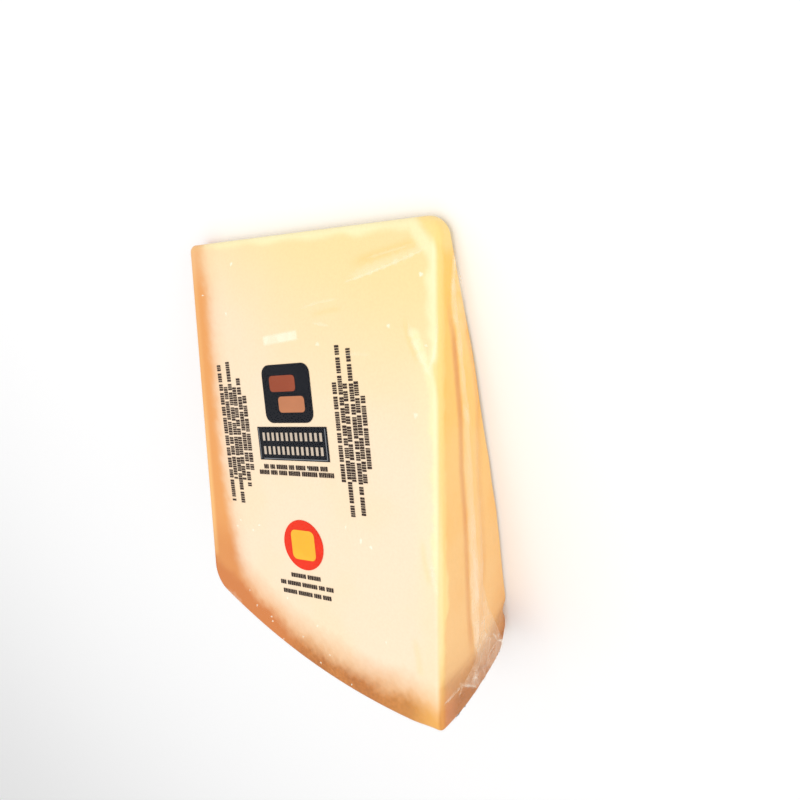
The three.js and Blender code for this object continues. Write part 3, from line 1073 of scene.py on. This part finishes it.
def on_flat_rind(r, arc):
    """Places on the flat rind; r is counted from the wheel's axis, arc from the rear cut face."""
    r, arc = np.broadcast_arrays(np.asarray(r, float), np.asarray(arc, float))
    left = -HALF_HEIGHT - TIP_SPREAD * (1 - (r - TIP_RADIUS) / (RIND_REACH - TIP_RADIUS))
    return about_axis(left, r, arc / r)


RIM_CREASES = [
    # path in (x, arc), width, height, haze
    ([(-106, 50), (-98, 38), (-95, 22)], 2.2, 0.35, 0.16),
    ([(-112, 12), (-96, 17), (-78, 18), (-60, 25)], 1.8, 0.3, 0.13),
    ([(-52, 58), (-44, 50), (-30, 46)], 2.0, 0.35, 0.14),
    ([(-14, 40), (-26, 30), (-44, 24)], 2.4, 0.4, 0.18),
    ([(-10, 22), (-22, 18), (-34, 8)], 2.2, 0.4, 0.2),
]
FLAT_RIND_CREASES = [
    # path in (r, arc), width, height, haze
    ([(172, 46), (160, 38), (140, 34)], 2.0, 0.35, 0.15),
    ([(168, 8), (150, 13), (120, 12), (98, 17)], 1.8, 0.3, 0.13),
    ([(52, 12), (66, 10), (86, 14)], 1.8, 0.3, 0.16),
]
rind_creases = fold_lines(on_rim, RIM_CREASES, 110) + fold_lines(on_flat_rind, FLAT_RIND_CREASES, 120)
joined_sheets("film_creases_rind", rind_creases, crease_film)

# ---------------------------------------------------------------- print on the film

# The print is laid out in millimetres about the middle of its black block, x across and y up the wedge
PRINT_CENTRE = (-68.0, -111.0)
PRINT_SCALE = 0.985
PRINT_TURN = math.radians(5.15)
INK_DEPTH = -0.26  # the top of the lowest ink, against the printed face
INK_THICK = 0.06
INK_STEP = 0.03  # the gap between one layer of ink and the next


def print_place(flat, lift):
    """Flat (x, y) places of the print, set on the printed face."""
    flat = np.asarray(flat, float) * PRINT_SCALE
    c, s = math.cos(PRINT_TURN), math.sin(PRINT_TURN)
    spread = flat @ np.array([[c, s], [-s, c]]) + np.array(PRINT_CENTRE)
    return on_printed_face(spread[:, 0], -spread[:, 1], lift)


def ink_piece(name, outlines, material, layer=0):
    """Flat fields of ink under the film; each outline is closed and runs anticlockwise."""
    points, faces = [], []
    top = INK_DEPTH + layer * (INK_THICK + INK_STEP)
    for outline in outlines:
        n, first = len(outline), len(points)
        points += list(print_place(outline, top)) + list(print_place(outline, top - INK_THICK))
        faces.append([first + i for i in range(n)])
        faces.append([first + n + i for i in reversed(range(n))])
        for i in range(n):
            j = (i + 1) % n
            faces.append([first + j, first + i, first + n + i, first + n + j])
    return mesh_piece(name, np.array(points), faces, material)


def disc(cx, cy, radius, steps=56):
    turns = [2 * math.pi * i / steps for i in range(steps)]
    return [(cx + radius * math.cos(turn), cy + radius * math.sin(turn)) for turn in turns]


def block(cx, cy, width, height):
    x, y = width / 2, height / 2
    return [(cx - x, cy - y), (cx + x, cy - y), (cx + x, cy + y), (cx - x, cy + y)]


BAR_WIDTHS = (0.5, 1.0)
BAR_GAP = 0.26
BAR_SPACE = 0.75
BARS_TOGETHER = (3, 9)  # from 3 up to 8 bars stand between two wider spaces


def bars_across(middle, y, length, height, seed):
    """A row of small plain bars of one height that runs in x, with a wider space after every few."""
    draw = np.random.default_rng(seed)
    bars, x = [], middle - length / 2
    until_space = draw.integers(*BARS_TOGETHER)
    while x < middle + length / 2 - BAR_GAP:
        width = draw.uniform(*BAR_WIDTHS)
        bars.append(block(x + width / 2, y, width, height))
        x += width + BAR_GAP
        until_space -= 1
        if until_space == 0:
            x += BAR_SPACE
            until_space = draw.integers(*BARS_TOGETHER)
    return bars


def rounded_block(cx, cy, width, height, corner, steps=6):
    """A block with round corners."""
    outline = []
    for quarter, (side, end) in enumerate(((1, 1), (-1, 1), (-1, -1), (1, -1))):
        middle_x = cx + side * (width / 2 - corner)
        middle_y = cy + end * (height / 2 - corner)
        for i in range(steps + 1):
            turn = (quarter + i / steps) * math.pi / 2
            outline.append((middle_x + corner * math.cos(turn), middle_y + corner * math.sin(turn)))
    return outline


def turned(bars, x, y, up):
    """Bars laid out about the origin, stood on end at (x, y)."""
    sign = 1 if up else -1
    return [[(x - sign * b, y + sign * a) for a, b in bar] for bar in bars]


def columns_of_bars(places, height, middle, first_seed, up):
    """Rows of bars stood on end side by side; places holds each one's x and length."""
    columns = []
    for number, (x, length) in enumerate(places):
        columns += turned(bars_across(0, 0, length, height, first_seed + number), x, middle, up)
    return columns


black = ink_material("black_ink", (0.007, 0.008, 0.012, 1))
small_print_ink = ink_material("small_print_ink", tone(58, 44, 38))
grey = ink_material("grey_ink", tone(128, 130, 134))
cream_ink = ink_material("cream_ink", tone(196, 180, 162))
terracotta = ink_material("terracotta_ink", tone(150, 74, 50))
tan = ink_material("tan_ink", tone(188, 122, 86))
red = ink_material("red_ink", tone(230, 52, 28))
yellow = ink_material("yellow_ink", tone(245, 180, 54))

ink_piece("print_panel", [rounded_block(0, 20.6, 26, 24, 4), block(0, 0, 38, 14)], black)
ink_piece(
    "print_panel_trim",
    [block(18.0, 0, 0.35, 12.6), block(0.6, -6.4, 34.6, 0.3), block(-18.3, 0, 0.3, 13.2)],
    grey, layer=1,
)
ink_piece("print_upper_field", [rounded_block(-2.0, 24.8, 14, 6.6, 1.6)], terracotta, layer=1)
ink_piece("print_lower_field", [rounded_block(2.0, 16.2, 14, 6.6, 1.6)], tan, layer=1)

PANEL_ROW_COUNT = 13
PANEL_ROW_STEP = 2.6
row_places = [PANEL_ROW_STEP * (n - (PANEL_ROW_COUNT - 1) / 2) for n in range(PANEL_ROW_COUNT)]
rows = [block(x, y, 1.3, 3.4) for y in (2.9, -2.9) for x in row_places]
ink_piece("print_panel_rows", rows, cream_ink, layer=1)

caption = bars_across(0, -9.9, 35, 1.9, 11) + bars_across(-0.2, -12.4, 40.6, 1.9, 12)
ink_piece("print_caption", caption, small_print_ink)
note = bars_across(-0.5, -56.3, 16.4, 1.8, 13) + bars_across(-1.1, -60.1, 28.4, 1.8, 14)
note += bars_across(-1.2, -63.9, 26, 1.8, 15)
ink_piece("print_note", note, small_print_ink)

LEFT_COLUMNS = [(-38.6, 60), (-35.8, 40.6), (-33.0, 62.2), (-30.5, 40), (-27.6, 47.6), (-24.9, 32.3)]
RIGHT_COLUMNS = [(24.9, 39), (27.8, 66.2), (30.0, 38.2), (33.0, 64.5), (35.3, 38.8), (37.9, 27.7)]
left_columns = columns_of_bars(LEFT_COLUMNS, 2.2, 4.2, 30, up=False)
right_columns = columns_of_bars(RIGHT_COLUMNS, 2.0, 4.85, 50, up=True)
ink_piece("print_columns", left_columns + right_columns, small_print_ink)

BADGE_Y = -42.6
BADGE_RADIUS = 10.7
ink_piece("print_badge", [disc(0, BADGE_Y, BADGE_RADIUS)], red)
ink_piece("print_badge_middle", [rounded_block(0, BADGE_Y, 12.6, 12.6, 2.4)], yellow, layer=1)

# ---------------------------------------------------------------- pale crystals in the paste

CRYSTALS = [
    # x, r, long and short radius in mm
    (-97.1, 38.9, 1.2, 0.7), (-101.9, 59.0, 1.1, 0.6), (-52.7, 70.9, 1.3, 1.0), (-20.3, 64.1, 1.0, 0.9),
    (-7.0, 47.1, 1.0, 1.0), (-5.3, 70.6, 0.8, 0.6), (-9.7, 94.7, 1.3, 1.1), (-34.7, 145.1, 1.5, 0.7),
    (-30.0, 146.6, 1.0, 0.8), (-41.8, 140.8, 0.9, 0.5), (-101.9, 151.4, 0.9, 0.7), (-92.4, 151.5, 0.8, 0.6),
    (-92.5, 186.0, 0.9, 0.5), (-115.7, 51.1, 0.9, 0.4), (-60.0, 120.5, 0.8, 0.6), (-74, 178, 0.7, 0.5),
    (-58, 186, 0.8, 0.4), (-66, 193, 0.7, 0.5), (-84, 189, 0.8, 0.5), (-24, 183, 0.7, 0.5),
    (-83.4, 190.9, 0.8, 0.5), (-88.6, 148.6, 0.9, 0.6), (-99.9, 148.3, 0.8, 0.5), (-56.9, 201.9, 0.7, 0.5),
    (-77.3, 197.4, 0.6, 0.4), (-41.1, 206.2, 0.6, 0.4), (-51.9, 196.9, 0.6, 0.4), (-96.6, 180.0, 0.6, 0.4),
]


FLECK_HEIGHT = 0.02
FLECK_HAZE = 0.55


def crystal(x, r, long_radius, short_radius, seed):
    """A small soft-edged fleck on the printed face."""
    draw = np.random.default_rng(seed)
    turn = draw.uniform(0, math.pi)
    rings = np.linspace(0.001, 1, 5)
    spokes = np.linspace(0, 2 * math.pi, 14)
    wobble = 1 + 0.18 * np.sin(spokes * 3 + turn)
    a = rings[:, None] * np.cos(spokes)[None] * long_radius * wobble
    b = rings[:, None] * np.sin(spokes)[None] * short_radius * wobble
    flat_x = x + a * math.cos(turn) - b * math.sin(turn)
    flat_r = r + a * math.sin(turn) + b * math.cos(turn)
    place = on_printed_face(flat_x, flat_r)
    soft = np.tile(fading(0.35, 1.0, rings)[:, None], (1, len(spokes)))
    return sheet(place, np.full(a.shape, FLECK_HEIGHT), FLECK_HAZE * soft)


fleck_film = folded_film_material("pale_fleck", tone(255, 254, 232), 200.0, (1, 1, 1))
flecks = [crystal(*row, 80 + number) for number, row in enumerate(CRYSTALS)]
joined_sheets("pale_flecks", flecks, fleck_film)


def pale_bar(start, end, width, strength):
    """A plain soft-edged pale bar on the printed face."""
    share = np.linspace(0, 1, 60)
    over = np.linspace(-1, 1, 15)
    heading = np.array(end) - np.array(start)
    sideways = np.array([-heading[1], heading[0]]) / np.linalg.norm(heading)
    flat = np.array(start) + share[:, None, None] * heading + over[None, :, None] * sideways * width / 2
    ends = np.clip(np.minimum(share, 1 - share) * 14, 0, 1)
    soft = ends[:, None] * fading(0.5, 1.0, np.abs(over))[None]
    places = on_printed_face(flat[..., 0], flat[..., 1])
    return sheet(places, np.full(soft.shape, FLECK_HEIGHT), strength * soft)


joined_sheets("pale_smear", [pale_bar((-81.5, 70.2), (-62.5, 67.4), 4.6, 0.5)], crease_film)

# ---------------------------------------------------------------- floor, light and camera

FLOOR_GREY = 0.93
FLOOR_BELOW = 0.0003

floor_material, floor_tree, floor_shader = new_material("pale_floor")
feed(floor_tree, floor_shader, {"Base Color": (FLOOR_GREY, FLOOR_GREY, FLOOR_GREY, 1), "Roughness": 0.9})
bpy.ops.mesh.primitive_plane_add(size=8, location=(0, 0, cad_low.z - FLOOR_BELOW))
floor = bpy.context.object
floor.name = "floor"
floor.data.materials.append(floor_material)


LIGHT_TARGET = Vector((0, 0, 0.03))


def soft_light(name, place, size, power):
    lamp = bpy.data.lights.new(name, "AREA")
    lamp.size = size
    lamp.energy = power
    holder = bpy.data.objects.new(name, lamp)
    bpy.context.scene.collection.objects.link(holder)
    holder.location = place
    holder.rotation_euler = (LIGHT_TARGET - Vector(place)).to_track_quat("-Z", "Y").to_euler()


soft_light("overhead_softbox", (0.05, 0.2, 1.0), 0.7, 3.6)
soft_light("side_softbox", (0.95, 0.05, 0.28), 0.6, 1.4)

world = bpy.data.worlds.new("studio")
world.use_nodes = True
feed(world.node_tree, world.node_tree.nodes["Background"], {"Color": (1, 1, 1, 1), "Strength": 0.8})
bpy.context.scene.world = world

# The camera looks down on the wedge; its place is in millimetres about the wheel's axis
CAMERA_PLACE = (97.4, -1.6, 185.5)
CAMERA_RIGHT = Vector((0.8414, -0.1830, -0.5086))
CAMERA_UP = Vector((-0.0650, 0.8999, -0.4313))

camera_data = bpy.data.cameras.new("camera")
camera_data.lens = 27.25
camera_data.sensor_width = 36
camera_data.clip_start = 0.01
camera = bpy.data.objects.new("camera", camera_data)
bpy.context.scene.collection.objects.link(camera)
columns_of_view = (CAMERA_RIGHT, CAMERA_UP, CAMERA_RIGHT.cross(CAMERA_UP), to_part(CAMERA_PLACE))
camera.matrix_world = Matrix([[column[i] for column in columns_of_view] for i in range(3)] + [(0, 0, 0, 1)])
bpy.context.scene.camera = camera
bpy.context.scene.view_settings.view_transform = "Standard"
